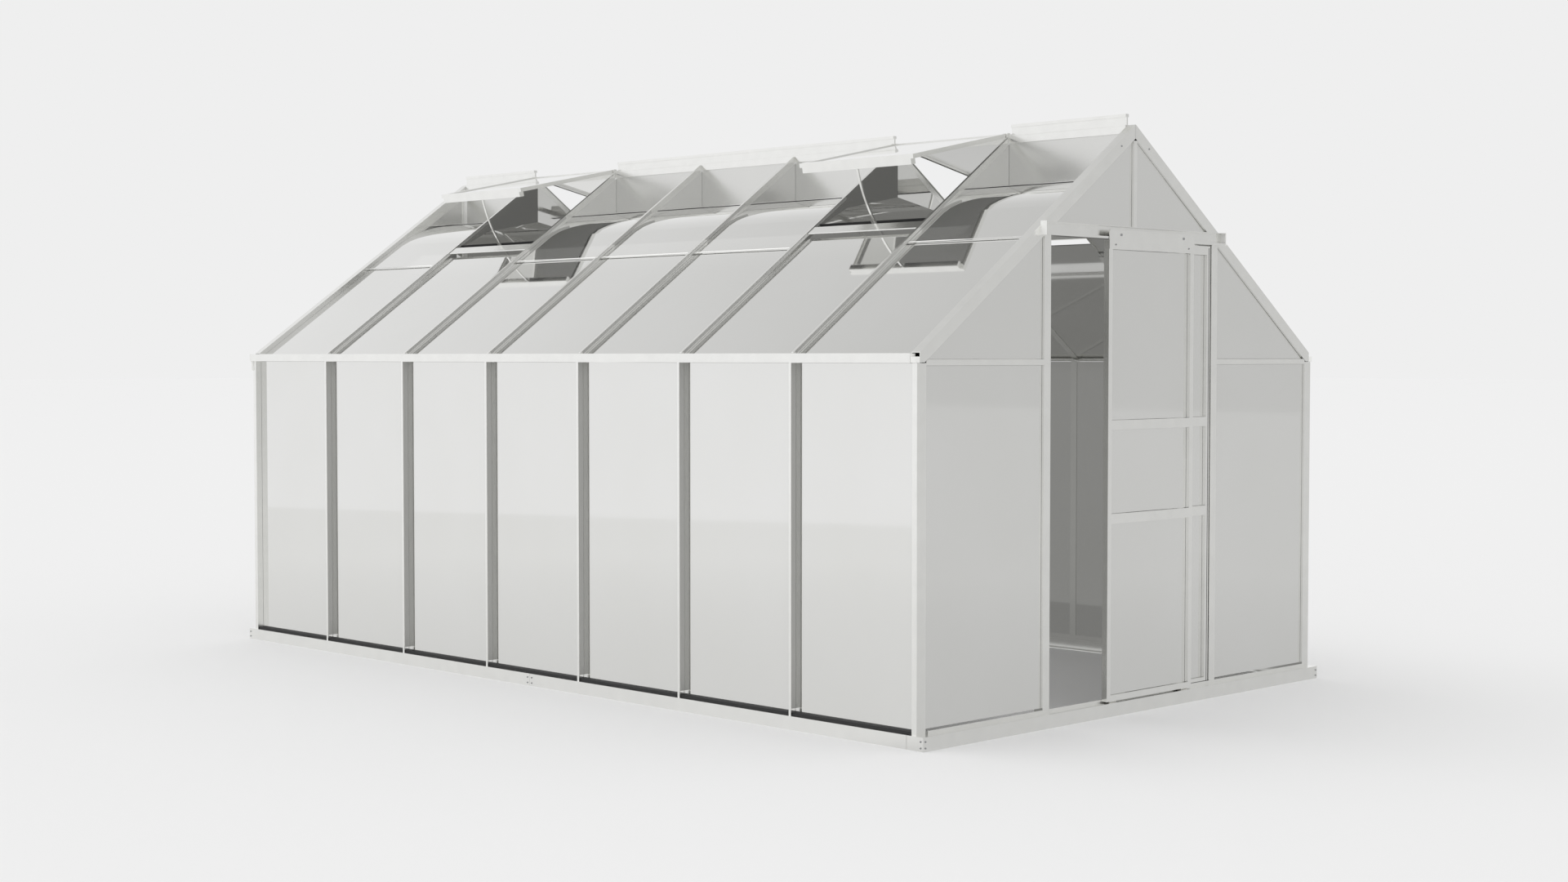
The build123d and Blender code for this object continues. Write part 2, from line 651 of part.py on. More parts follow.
with BuildPart() as rear_gable_panes:
    for x0, x1 in zip(columns[:-1], columns[1:]):
        a, b = column_span(x0, x1, pane_gap)
        z0, z1 = glazed_foot, transom_z - pane_gap
        gable_pane([(a, z0), (b, z0), (b, z1), (a, z1)], 1)
        z0 = transom_z + transom_h + pane_gap
        reach = slope_x(z0, gable_bar_d) - pane_tip
        a, b = max(a, -reach), min(b, reach)
        crown = [(x, under_rafter(abs(x))) for x in (b, a) if under_rafter(abs(x)) > z0 + 2 * pane_tip]
        gable_pane([(a, z0), (b, z0)] + crown, 1)
finish(rear_gable_panes, "rear_gable_panes")

# ---------------------------------------------------------------- door header and leaves
with BuildPart() as door_header:
    header_rear_half = min(slope_x(header_top, gable_bar_d) - header_rear_play, jamb_in - header_rear_in)
    block(-header_half, header_half, web_y, -half_l, header_z, header_top)
    block(-header_half, header_half, web_y - track_w + track_t, web_y, header_top - track_t, header_top)
    block(-header_half, header_half, web_y - track_w + track_t, web_y, header_z, header_z + track_t)
    block(-header_half, header_half, web_y - track_w + track_t, web_y - track_w + 2 * track_t, header_z,
          header_z + track_lip)
    rear_y = -half_l + rear_track_w
    block(-header_rear_half, header_rear_half, -half_l, rear_y, header_top - track_t, header_top)
    block(-header_rear_half, header_rear_half, -half_l, rear_y, header_z, header_z + track_t)
    block(-header_rear_half, header_rear_half, rear_y - track_t, rear_y, header_z, header_z + track_lip)
finish(door_header, "door_header")

with BuildPart() as header_end_caps:
    for sx in (-1, 1):
        block(sx * header_half, sx * (header_half + cap_t), web_y - track_w + track_t, -half_l, header_z,
              header_top + cap_over)
finish(header_end_caps, "header_end_caps")


def make_leaf(name, x0, y0, facing):
    """The stiles, rails, panes, hanger plate, roller axles and rollers of one sliding leaf."""
    x1 = x0 + leaf_w
    y1 = y0 + leaf_y
    with BuildPart() as stiles:
        for a, b in ((x0, x0 + stile_w), (x1 - stile_w, x1)):
            tube(a, b, y0, y1, leaf_foot, leaf_head, leaf_wall)
    finish(stiles, f"{name}_door_stiles")

    bands = [(leaf_foot, leaf_foot + leaf_end_rail_h)]
    bands += [(z - rail_h / 2, z + rail_h / 2) for z in rail_z]
    bands.append((leaf_head - leaf_head_rail_h, leaf_head))
    hanger_ys = (y0 - hanger_t, y0) if facing < 0 else (y1, y1 + hanger_t)
    screw_xs = (x0 + hanger_screw_in, x1 - hanger_screw_in)
    axle_xs = (x0 + roller_in, x1 - roller_in)
    with BuildPart() as rails:
        for z0, z1 in bands:
            block(x0 + stile_w, x1 - stile_w, y0, y1, z0, z1)
            block(x0 + stile_w, x1 - stile_w, y0 + leaf_wall, y1 - leaf_wall, z0 + leaf_wall, z1 - leaf_wall,
                  Mode.SUBTRACT)
        for x in screw_xs:
            bore(x, y0 if facing < 0 else y1, hanger_screw_z, "y", screw_r + screw_clear, 8, Mode.SUBTRACT)
    finish(rails, f"{name}_door_rails")

    with BuildPart() as panes:
        for (_, z0), (z1, _) in zip(bands[:-1], bands[1:]):
            block(x0 + stile_w + pane_gap, x1 - stile_w - pane_gap, y0 + leaf_recess,
                  y0 + leaf_recess + pane_t, z0 + pane_gap, z1 - pane_gap)
    finish(panes, f"{name}_door_panes")

    inset = 0 if facing < 0 else hanger_in
    with BuildPart() as hanger:
        block(x0 + inset, x1 - inset, *hanger_ys, hanger_foot, hanger_top)
        fillet(hanger.edges().filter_by(Axis.Y).group_by(Axis.Z)[-1], 6)
        for x, z, r in [(x, axle_z, axle_r + screw_clear) for x in axle_xs] + \
                       [(x, hanger_screw_z, screw_r + screw_clear) for x in screw_xs]:
            bore(x, sum(hanger_ys) / 2, z, "y", r, 8, Mode.SUBTRACT)
    finish(hanger, f"{name}_door_hanger")

    # the plate's outer face, and the middle of the channel that the rollers run in
    face = hanger_ys[0] if facing < 0 else hanger_ys[1]
    back = hanger_ys[1] if facing < 0 else hanger_ys[0]
    track_mid = web_y - (track_w - track_t) / 2 + 1 if facing < 0 else -half_l + track_w / 2
    near_side = track_mid + facing * (roller_w / 2 + 0.3)
    tip = track_mid - facing * (roller_w / 2 + 0.5 + axle_washer_t)
    with BuildPart() as axles:
        for x in axle_xs:
            bore(x, (face + tip) / 2, axle_z, "y", axle_r, abs(face - tip))
            bore(x, face + facing * axle_head_t / 2, axle_z, "y", axle_head_r, axle_head_t)
            bore(x, (back + near_side) / 2, axle_z, "y", spacer_r, abs(back - near_side))
            bore(x, tip + facing * axle_washer_t / 2, axle_z, "y", spacer_r, axle_washer_t)
    finish(axles, f"{name}_roller_axles")

    with BuildPart() as screws:
        for x in screw_xs:
            bore(x, face + facing * screw_head_t / 2, hanger_screw_z, "y", screw_head_r, screw_head_t)
            bore(x, face - facing * (hanger_t + 2.5) / 2, hanger_screw_z, "y", screw_r, hanger_t + 2.5)
    finish(screws, f"{name}_hanger_screws")

    for x, end_name in zip(axle_xs, ("left", "right")):
        with BuildPart() as roller:
            bore(x, track_mid, axle_z, "y", roller_r, roller_w)
            chamfer(roller.edges(), 1.0)
            bore(x, track_mid, axle_z, "y", axle_r + axle_clear, 2 * roller_w, Mode.SUBTRACT)
        finish(roller, f"{name}_roller_{end_name}")


make_leaf("outer", outer_leaf_x, outer_leaf_y, -1)
make_leaf("inner", inner_leaf_x, inner_leaf_y, 1)


# ---------------------------------------------------------------- roof vents
def sash_section(sx, y):
    """Sketch plane of a sash: x runs from the hinge to the free edge, y stands out from the sash."""
    level = radians(vent_level)
    return Plane(origin=(sx * vent_hinge_x, y, vent_hinge_z), x_dir=(sx * cos(level), 0, -sin(level)),
                 z_dir=(0, -sx, 0))


def sash_band(sx, y, width, s0, s1, n0, n1, mode=Mode.ADD):
    """A bar of a sash, centred at y, from its section between two distances and two heights."""
    with BuildSketch(sash_section(sx, y)) as outline:
        with Locations(((s0 + s1) / 2, (n0 + n1) / 2)):
            Rectangle(s1 - s0, n1 - n0)
    extrude(outline.sketch, amount=width / 2, both=True, mode=mode)


for sx, side_name in ((-1, "left"), (1, "right")):
    for yc, end_name in zip(vent_ys, ("front", "rear")):
        vent_name = f"{side_name}_{end_name}_vent"
        rail_foot = vent_top - vent_rail_h
        with BuildPart() as sash_frame:
            rail_s = vent_len - vent_rail_t
            for sy in (-1, 1):
                y_bar = yc + sy * (vent_w - vent_bar_w) / 2
                sash_band(sx, y_bar, vent_bar_w, 0, rail_s, -vent_under, vent_top)
                sash_band(sx, y_bar, vent_bar_w - 2 * vent_wall, vent_knuckle_r, rail_s, -vent_under,
                          vent_top - vent_wall, Mode.SUBTRACT)
                bore(sx * vent_hinge_x, y_bar, vent_hinge_z, "y", vent_knuckle_r, vent_bar_w)
                pin_y = yc + sy * (vent_w / 2 + (lug_gap + lug_t) / 2)
                bore(sx * vent_hinge_x, pin_y, vent_hinge_z, "y", vent_pin_r, lug_gap + lug_t)
            sash_band(sx, yc, vent_w, rail_s, vent_len, -vent_under, vent_top)
            sash_band(sx, yc, vent_skirt_w, rail_s, vent_len, rail_foot, -vent_under)
            hollow = vent_skirt_w / 2 - vent_wall - stay_w
            for sy in (-1, 1):
                sash_band(sx, yc + sy * (stay_w + hollow / 2), hollow, rail_s + vent_wall,
                          vent_len - vent_wall, rail_foot, vent_top - vent_wall, Mode.SUBTRACT)
            sash_band(sx, yc, vent_w - 2 * vent_bar_w, *vent_head, -vent_under / 2, vent_top)
        finish(sash_frame, f"{vent_name}_sash")

        with BuildPart() as sash_pane:
            sash_band(sx, yc, vent_w - 2 * vent_bar_w - 2 * pane_gap, vent_head[1] + pane_gap,
                      rail_s - pane_gap, 0, pane_t)
        finish(sash_pane, f"{vent_name}_pane")

        with BuildPart() as stay:
            start_angle = -(degrees(atan2(-rail_foot, stay_r)) + stay_play)
            end_angle = vent_level - stay_end
            with BuildSketch(sash_section(sx, yc)):
                with BuildLine():
                    outer, inner = stay_r + stay_t / 2, stay_r - stay_t / 2
                    arc_out = CenterArc((0, 0), outer, end_angle, start_angle - end_angle)
                    arc_in = CenterArc((0, 0), inner, end_angle, start_angle - end_angle)
                    Line(arc_out @ 0, arc_in @ 0)
                    Line(arc_out @ 1, arc_in @ 1)
                make_face()
            extrude(amount=stay_w / 2, both=True)
        finish(stay, f"{vent_name}_stay")

# ---------------------------------------------------------------- fasteners
with BuildPart() as frame_screws:
    for x, y, z, axis, out in screw_spots():
        if axis == "x":
            bore(x + out * screw_head_t / 2, y, z, "x", screw_head_r, screw_head_t)
            bore(x - out * screw_len / 2, y, z, "x", screw_r, screw_len)
        else:
            bore(x, y + out * screw_head_t / 2, z, "y", screw_head_r, screw_head_t)
            bore(x, y - out * screw_len / 2, z, "y", screw_r, screw_len)
    for sx in (-1, 1):
        for sy in (-1, 1):
            z = slope_z(apex_bolt_x, apex_bolt_d)
            bore(sx * apex_bolt_x, sy * (half_l + screw_head_t / 2), z, "y", screw_head_r, screw_head_t)
            bore(sx * apex_bolt_x, sy * (half_l - wall), z, "y", screw_r, 2 * wall)
finish(frame_screws, "frame_screws")
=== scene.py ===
import json
import math

import bmesh
import bpy
from mathutils import Matrix, Vector


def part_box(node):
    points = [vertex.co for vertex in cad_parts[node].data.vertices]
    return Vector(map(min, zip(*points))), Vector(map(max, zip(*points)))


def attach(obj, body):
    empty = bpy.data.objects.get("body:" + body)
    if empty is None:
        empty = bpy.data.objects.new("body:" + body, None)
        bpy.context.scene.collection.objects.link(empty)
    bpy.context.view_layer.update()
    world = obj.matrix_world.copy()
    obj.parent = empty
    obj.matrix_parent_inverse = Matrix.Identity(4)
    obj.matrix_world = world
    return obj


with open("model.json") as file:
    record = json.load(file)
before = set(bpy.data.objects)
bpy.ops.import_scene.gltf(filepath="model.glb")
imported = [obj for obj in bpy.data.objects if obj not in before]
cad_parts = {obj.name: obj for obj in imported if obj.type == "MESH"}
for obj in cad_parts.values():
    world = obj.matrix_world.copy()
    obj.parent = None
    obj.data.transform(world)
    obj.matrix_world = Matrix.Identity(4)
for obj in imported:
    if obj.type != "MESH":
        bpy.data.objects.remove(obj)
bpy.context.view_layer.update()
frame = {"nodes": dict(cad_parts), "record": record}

MM = 0.001
# the two roof planes meet at the ridge and end over the eaves, and the bent sheets leave the ridge flatter
RIDGE_Z, EAVE_Z, HALF_W = 2300 * MM, 1401 * MM, 1275 * MM
ROOF_FALL = math.atan2(RIDGE_Z - EAVE_Z, HALF_W)
SHEET_FALL = math.atan(0.125)
scene = bpy.context.scene
nodes = frame["nodes"]


# ---------------------------------------------------------------- small helpers
def srgb(code):
    """A hex colour as linear RGBA."""
    channels = [int(code[i:i + 2], 16) / 255 for i in (1, 3, 5)]
    linear = [c / 12.92 if c <= 0.04045 else ((c + 0.055) / 1.055) ** 2.4 for c in channels]
    return (*linear, 1.0)


def add_node(tree, kind, settings=None, **links):
    """Add a node. Settings name properties or inputs by number or name, and links name inputs."""
    node = tree.nodes.new("ShaderNode" + kind)
    for key, value in (settings or {}).items():
        if isinstance(key, str) and hasattr(node, key):
            setattr(node, key, value)
        else:
            node.inputs[key].default_value = value
    for key, socket in links.items():
        place = int(key[1:]) if key[0] == "i" and key[1:].isdigit() else key.replace("_", " ")
        tree.links.new(socket, node.inputs[place])
    return node


def new_material(name):
    """An empty material: its node tree, its shader and its object coordinates."""
    material = bpy.data.materials.new(name)
    material.use_nodes = True
    tree = material.node_tree
    shader = tree.nodes["Principled BSDF"]
    place = add_node(tree, "TexCoord").outputs["Object"]
    return material, tree, shader, place


def vary_finish(tree, shader, mottle, colours, grain, roughness):
    """Run the colour between two values over one pattern, and the roughness between two over another."""
    tone = add_node(tree, "ValToRGB", Fac=mottle.outputs["Fac"])
    for element, code in zip(tone.color_ramp.elements, colours):
        element.color = srgb(code)
    tree.links.new(tone.outputs["Color"], shader.inputs["Base Color"])
    smooth, dull = roughness
    rough = add_node(tree, "MapRange", {"To Min": smooth, "To Max": dull}, Value=grain.outputs["Fac"])
    tree.links.new(rough.outputs["Result"], shader.inputs["Roughness"])
    return tone.color_ramp


# ---------------------------------------------------------------- materials
def satin_anodised_aluminium():
    """Extruded aluminium, etched and clear anodised: pale, even, with a wide soft highlight."""
    material, tree, shader, place = new_material("satin_anodised_aluminium")
    shader.inputs["Metallic"].default_value = 1.0
    # etching mottles the tone slightly over about 60 mm
    mottle = add_node(tree, "TexNoise", {"Scale": 1 / (60 * MM), "Detail": 3.0}, Vector=place)
    # the etched grain is drawn at 2 mm, coarser than the real 0.05 mm, so that it shows
    grain = add_node(tree, "TexNoise", {"Scale": 1 / (2 * MM), "Detail": 2.0}, Vector=place)
    tone = vary_finish(tree, shader, mottle, ("#F8F8F6", "#FCFCFA"), grain, (0.18, 0.26))
    tone.elements[0].position, tone.elements[1].position = 0.3, 0.7
    bump = add_node(tree, "Bump", {"Strength": 0.15, "Distance": 0.05 * MM}, Height=grain.outputs["Fac"])
    tree.links.new(bump.outputs["Normal"], shader.inputs["Normal"])
    return material


def mirrored_acrylic():
    """Metallised acrylic sheet: opaque, pale and mirror bright, with the slow waves of a thin cast sheet."""
    material, tree, shader, place = new_material("mirrored_acrylic")
    # a little of the light is scattered by the cast sheet over the metal
    shader.inputs["Metallic"].default_value = 0.94
    haze = add_node(tree, "TexNoise", {"Scale": 1 / (400 * MM), "Detail": 2.0}, Vector=place)
    vary_finish(tree, shader, haze, ("#EFEFED", "#F3F3F2"), haze, (0.02, 0.05))
    waves = add_node(tree, "TexNoise", {"Scale": 1 / (350 * MM), "Detail": 0.0}, Vector=place)
    bump = add_node(tree, "Bump", {"Strength": 0.1, "Distance": 1 * MM}, Height=waves.outputs["Fac"])
    tree.links.new(bump.outputs["Normal"], shader.inputs["Normal"])
    return material


def satin_riser_sheet():
    """Satin-faced aluminium sheet of the ridge risers: greyer than the panes, with a soft reflection."""
    material, tree, shader, place = new_material("satin_riser_sheet")
    shader.inputs["Metallic"].default_value = 0.94
    haze = add_node(tree, "TexNoise", {"Scale": 1 / (250 * MM), "Detail": 2.0}, Vector=place)
    vary_finish(tree, shader, haze, ("#E3E3E1", "#E8E8E6"), haze, (0.2, 0.28))
    return material


def black_rubber():
    """Extruded EPDM rubber of the glazing seals: near black, dull, with a faint extrusion grain."""
    material, tree, shader, place = new_material("black_rubber")
    shader.inputs["IOR"].default_value = 1.52
    grain = add_node(tree, "TexNoise", {"Scale": 1 / (2 * MM), "Detail": 2.0}, Vector=place)
    vary_finish(tree, shader, grain, ("#2A2A2B", "#363637"), grain, (0.6, 0.75))
    return material


def zinc_plated_steel():
    """Bright zinc plating on turned steel: cooler and darker than the aluminium, with duller patches."""
    material, tree, shader, place = new_material("zinc_plated_steel")
    shader.inputs["Metallic"].default_value = 1.0
    spangle = add_node(tree, "TexNoise", {"Scale": 1 / (1.5 * MM), "Detail": 2.0}, Vector=place)
    vary_finish(tree, shader, spangle, ("#A4A6A8", "#C2C3C4"), spangle, (0.22, 0.36))
    return material


def moulded_plastic(name, dark, light):
    """Moulded or extruded plastic with a fine texture from its tool."""
    material, tree, shader, place = new_material(name)
    shader.inputs["IOR"].default_value = 1.49
    texture = add_node(tree, "TexNoise", {"Scale": 1 / (1.2 * MM), "Detail": 2.0}, Vector=place)
    vary_finish(tree, shader, texture, (dark, light), texture, (0.38, 0.52))
    bump = add_node(tree, "Bump", {"Strength": 0.2, "Distance": 0.05 * MM}, Height=texture.outputs["Fac"])
    tree.links.new(bump.outputs["Normal"], shader.inputs["Normal"])
    return material


aluminium = satin_anodised_aluminium()
sheet = mirrored_acrylic()
riser = satin_riser_sheet()
rubber = black_rubber()
zinc = zinc_plated_steel()
nylon = moulded_plastic("moulded_nylon", "#DCDBD5", "#E6E5E0")
cap_white = moulded_plastic("white_cap_plastic", "#F1F1EE", "#F8F8F6")
# grey PVC of the bar liners, partly painted shade along the webs of the bars
web_shade_grey_pvc = moulded_plastic("grey_pvc_painted_web_shade", "#B4B4B1", "#BABAB7")
frosted_strip = moulded_plastic("frosted_strip_plastic", "#D2D2D0", "#DADAD8")
finishes = {"aluminium_frame": aluminium, "opal_sheet": sheet, "zinc_steel": zinc, "nylon": nylon,
            "cap_plastic": cap_white}
for part in frame["record"]["subparts"]:
    mesh = nodes[part["node"]].data
    mesh.materials.clear()
    mesh.materials.append(finishes[part["material_slot"]])
for name, finish in (("rafter_gussets", sheet), ("ridge_riser_panels", riser)):
    nodes[name].data.materials[0] = finish


# ---------------------------------------------------------------- small fittings
def hang(name, form, finish, body):
    """Make a finished form a piece that rides on a body."""
    bmesh.ops.recalc_face_normals(form, faces=form.faces)
    mesh = bpy.data.meshes.new(name)
    form.to_mesh(mesh)
    form.free()
    mesh.materials.append(finish)
    piece = bpy.data.objects.new(name, mesh)
    scene.collection.objects.link(piece)
    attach(piece, body)


def soften(form, verts, radius):
    """Round the edges of a new shape."""
    edges = list({edge for vert in verts for edge in vert.link_edges})
    bmesh.ops.bevel(form, geom=edges, offset=radius, segments=2, profile=0.5, affect="EDGES", material=-1)


def add_block(form, low, high, radius, turn=None):
    """A block with rounded edges between two corners, turned about the origin afterwards if asked."""
    low, high = Vector(low), Vector(high)
    verts = bmesh.ops.create_cube(form, size=1.0)["verts"]
    place = Matrix.Translation((low + high) / 2) @ Matrix.Diagonal((*(high - low), 1.0))
    bmesh.ops.transform(form, matrix=turn @ place if turn else place, verts=verts)
    soften(form, verts, radius)


def facing(centre, out):
    """The matrix that stands a shape's Z axis along out at a centre."""
    return Matrix.Translation(centre) @ Vector(out).to_track_quat("Z", "Y").to_matrix().to_4x4()


def add_screw_head(form, centre, out, radius, rise):
    """A domed screw head with a round socket, its seat at centre."""
    crown_r, socket_in, socket_d, sides = radius * 0.62, radius * 0.2, rise * 0.7, 18
    place = facing(centre, out)
    dome = bmesh.ops.create_cone(form, cap_ends=True, segments=sides, radius1=radius, radius2=crown_r,
                                 depth=rise)["verts"]
    bmesh.ops.transform(form, matrix=place @ Matrix.Translation((0, 0, rise / 2)), verts=dome)
    way = Vector(out).normalized()
    top = max({face for vert in dome for face in vert.link_faces if len(face.verts) == sides},
              key=lambda face: face.calc_center_median().dot(way))
    bmesh.ops.inset_region(form, faces=[top], thickness=socket_in)
    socket = bmesh.ops.extrude_discrete_faces(form, faces=[top])["faces"]
    bmesh.ops.translate(form, verts=socket[0].verts, vec=-way * socket_d)


def add_ring(form, centre, out, inner, outer, thickness):
    """A ring or a short tube, its seat at centre."""
    sides = 20
    rim = bmesh.ops.create_circle(form, segments=sides, radius=outer)["verts"]
    bore = bmesh.ops.create_circle(form, segments=sides, radius=inner)["verts"]
    edges = list({edge for vert in rim + bore for edge in vert.link_edges})
    ring = bmesh.ops.bridge_loops(form, edges=edges)["faces"]
    raised = bmesh.ops.extrude_face_region(form, geom=ring)["geom"]
    lifted = [item for item in raised if isinstance(item, bmesh.types.BMVert)]
    bmesh.ops.translate(form, verts=lifted, vec=(0, 0, thickness))
    bmesh.ops.transform(form, matrix=facing(centre, out), verts=list(set(rim + bore + lifted)))


def on_slope(sx):
    """The matrix that lays a shape on one roof slope: X along the slope from the ridge, Z out of it."""
    return Matrix.Translation((0, 0, RIDGE_Z)) @ Matrix.Rotation(sx * ROOF_FALL, 4, "Y")


def on_side(sx, near, far):
    """Two distances from the middle of the house as X on one side of it, the lower first."""
    return sorted((sx * near, sx * far))


def filled_spans(node):
    """The stretches of Y that a node's pieces fill, from their own corners."""
    ends = sorted({round(vert.co.y, 4) for vert in nodes[node].data.vertices})
    return list(zip(ends[0::2], ends[1::2]))


SIDES = (-1, 1)
VENTS = [(f"{side}_{end}_vent", sx)
         for side, sx in (("left", -1), ("right", 1)) for end in ("front", "rear")]
posts_low, posts_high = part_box("corner_posts")
gutter_low, gutter_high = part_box("eave_gutters")
_, base_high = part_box("base_end_rails")
_, screws_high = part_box("frame_screws")
riser_low, riser_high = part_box("ridge_riser_panels")
wall_low, wall_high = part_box("left_wall_panes")
glazed_bays = filled_spans("ridge_riser_panels")
wall_bays = filled_spans("left_wall_panes")


def make_post_caps():
    """White plastic caps on the front posts, which close the front ends of the gutters."""
    form = bmesh.new()
    width, height, play = 25 * MM, 23 * MM, 0.5 * MM
    plate_h, plate_t = 34 * MM, 2 * MM
    back_y = gutter_low[1] - play
    for sx in SIDES:
        a, b = on_side(sx, gutter_high[0] - width, gutter_high[0])
        add_block(form, (a, posts_low[1], posts_high[2] + play), (b, back_y, posts_high[2] + height),
                  1.5 * MM)
        add_block(form, (a, back_y - plate_t, posts_high[2] + height), (b, back_y, posts_high[2] + plate_h),
                  0.4 * MM)
    hang("post_caps", form, cap_white, "frame")


def make_base_screw_heads():
    """Domed heads over the shanks of the base screws, in two rows."""
    form = bmesh.new()
    head_r, rise = 3.4 * MM, 1.6 * MM
    shank_out, corner_in, splice_y = 1.5 * MM, 12 * MM, 14 * MM
    for z in (13 * MM, 36 * MM):
        for sx in SIDES:
            for sy in SIDES:
                add_screw_head(form, (sx * screws_high[0], sy * (base_high[1] - corner_in), z), (sx, 0, 0),
                               head_r, rise)
                add_screw_head(form, (sx * (base_high[0] - corner_in), sy * (base_high[1] + shank_out), z),
                               (0, sy, 0), head_r, rise)
                add_screw_head(form, (sx * screws_high[0], sy * splice_y, z), (sx, 0, 0), head_r, rise)
    hang("base_screw_heads", form, zinc, "frame")


def make_hanger_screw_heads():
    """Domed heads of the screws that hold the hanger plates to the leaves."""
    head_r, rise = 3.4 * MM, 1.4 * MM
    for leaf, out in (("outer", -1), ("inner", 1)):
        low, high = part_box(f"{leaf}_hanger_screws")
        form = bmesh.new()
        y = low[1] if out < 0 else high[1]
        for x in (low[0] + head_r, high[0] - head_r):
            add_screw_head(form, (x, y, (low[2] + high[2]) / 2), (0, out, 0), head_r, rise)
        hang(f"{leaf}_hanger_screw_heads", form, zinc, f"{leaf}_door")


def make_ridge_trim():
    """Thin trim over the tops of the bent sheets, at the foot of the risers, and a rubber seal under its
    outer edge, whose dark line is partly painted shadow.
    """
    trim, shadow_line_seal = bmesh.new(), bmesh.new()
    trim_w, trim_t, seal_h, seal_w, play = 106 * MM, 1.2 * MM, 2.2 * MM, 3 * MM, 0.3 * MM
    riser_half, riser_gap, pane_t, edge_r = riser_high[0], 1 * MM, 4 * MM, 0.3 * MM
    for sx in SIDES:
        turn = Matrix.Translation((0, 0, riser_low[2] + pane_t)) @ Matrix.Rotation(sx * SHEET_FALL, 4, "Y")
        for y0, y1 in glazed_bays:
            a, b = on_side(sx, riser_half + riser_gap, riser_half + trim_w)
            add_block(trim, (a, y0, play + seal_h), (b, y1, play + seal_h + trim_t), edge_r, turn)
            # painted shadow: the dark seal under the trim's outer edge draws the shadow line below it
            a, b = on_side(sx, riser_half + trim_w - seal_w, riser_half + trim_w)
            add_block(shadow_line_seal, (a, y0, play), (b, y1, play + seal_h), edge_r, turn)
    hang("ridge_trim", trim, aluminium, "frame")
    hang("ridge_trim_shadow_seals", shadow_line_seal, rubber, "frame")


def make_lap_seals():
    """Frosted strips along the lower edges of the bent sheets, where they lap the panes below."""
    form = bmesh.new()
    strip_w, strip_t, play = 7 * MM, 6.4 * MM, 0.05 * MM
    edge_s, edge_d = 768 * MM, 21.9 * MM
    for sx in SIDES:
        for y0, y1 in glazed_bays:
            a, b = on_side(sx, edge_s + play, edge_s + play + strip_w)
            add_block(form, (a, y0, -edge_d), (b, y1, -edge_d + strip_t), 1 * MM, on_slope(sx))
    hang("lap_seals", form, frosted_strip, "frame")


def make_wall_seals():
    """Rubber seals under the side wall panes, and a second strip over the lips of the sills."""
    form = bmesh.new()
    sill_top, lip_x, wrap_t, wrap_h, play = 54 * MM, 1267 * MM, 2.3 * MM, 8 * MM, 0.2 * MM
    for sx in SIDES:
        for y0, y1 in wall_bays:
            a, b = on_side(sx, -wall_low[0], lip_x)
            add_block(form, (a, y0, sill_top + play), (b, y1, wall_low[2] - play), 0.8 * MM)
            a, b = on_side(sx, lip_x + play, lip_x + wrap_t)
            add_block(form, (a, y0, base_high[2] + play), (b, y1, base_high[2] + wrap_h), 0.6 * MM)
    hang("wall_foot_seals", form, rubber, "frame")


def make_bar_shade_liners():
    """Grey PVC liners on both sides of the webs of the mullions and the rafters; their grey is partly painted
    shade, darkening the webs and their reflections in the panes.
    """
    form = bmesh.new()
    web_half, liner_t, play, cap_t, edge_r = 1.25 * MM, 0.8 * MM, 0.1 * MM, 2.2 * MM, 0.2 * MM
    wall_x, foot_z, recess = 1245 * MM, 77 * MM, 15.5 * MM
    start_s, end_s = 400 * MM, 1530 * MM
    bars = [(before[1] + after[0]) / 2 for before, after in zip(wall_bays, wall_bays[1:])]
    for sx in SIDES:
        for bar_y in bars:
            for sy in SIDES:
                y0, y1 = sorted((bar_y + sy * (web_half + play), bar_y + sy * (web_half + liner_t)))
                a, b = on_side(sx, wall_x + play, HALF_W - cap_t)
                add_block(form, (a, y0, foot_z), (b, y1, wall_high[2] - play), edge_r)
                a, b = on_side(sx, start_s, end_s)
                add_block(form, (a, y0, -recess), (b, y1, -cap_t), edge_r, on_slope(sx))
    hang("bar_shade_liners", form, web_shade_grey_pvc, "frame")


def make_vent_seals():
    """Rubber seals along the rebates of the vent sills, parted where the stays pass."""
    form = bmesh.new()
    seal_t, seal_h, lip_d, stay_half = 4 * MM, 12 * MM, 22.8 * MM, 17 * MM
    bay_half, sill_s = 305 * MM, 601 * MM
    for vent, sx in VENTS:
        low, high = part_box(f"{vent}_sash")
        middle = (low[1] + high[1]) / 2
        a, b = on_side(sx, sill_s, sill_s + seal_t)
        for y0, y1 in ((middle - bay_half, middle - stay_half), (middle + stay_half, middle + bay_half)):
            add_block(form, (a, y0, -lip_d), (b, y1, -lip_d + seal_h), 1 * MM, on_slope(sx))
    hang("vent_sill_seals", form, rubber, "frame")


def make_vent_fittings():
    """On each sash, nylon washers on its pins; on each quadrant stay, a bumper at its free end."""
    # pin_over is how far a pin passes the side bar
    pin_x, pin_r, pin_over = 20 * MM, 4.2 * MM, 8.5 * MM
    washer_r, washer_t, washer_gap = 7.5 * MM, 2.0 * MM, 0.2 * MM
    reach, overhang, below, above = 7 * MM, 4 * MM, 5 * MM, 7 * MM
    for vent, sx in VENTS:
        low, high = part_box(f"{vent}_sash")
        form = bmesh.new()
        for y, out in ((low[1] + pin_over, -1), (high[1] - pin_over, 1)):
            seat = (sx * pin_x, y + out * washer_gap, RIDGE_Z)
            add_ring(form, seat, (0, out, 0), pin_r, washer_r, washer_t)
        hang(f"{vent}_washers", form, nylon, vent)
        low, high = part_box(f"{vent}_stay")
        form = bmesh.new()
        foot_x = high[0] if sx < 0 else low[0]
        a, b = sorted((foot_x, foot_x - sx * reach))
        middle = (low[1] + high[1]) / 2
        add_block(form, (a - overhang, middle - reach, low[2] - below),
                  (b + overhang, middle + reach, low[2] + above), 2.5 * MM)
        hang(f"{vent}_stay_bumper", form, nylon, vent)


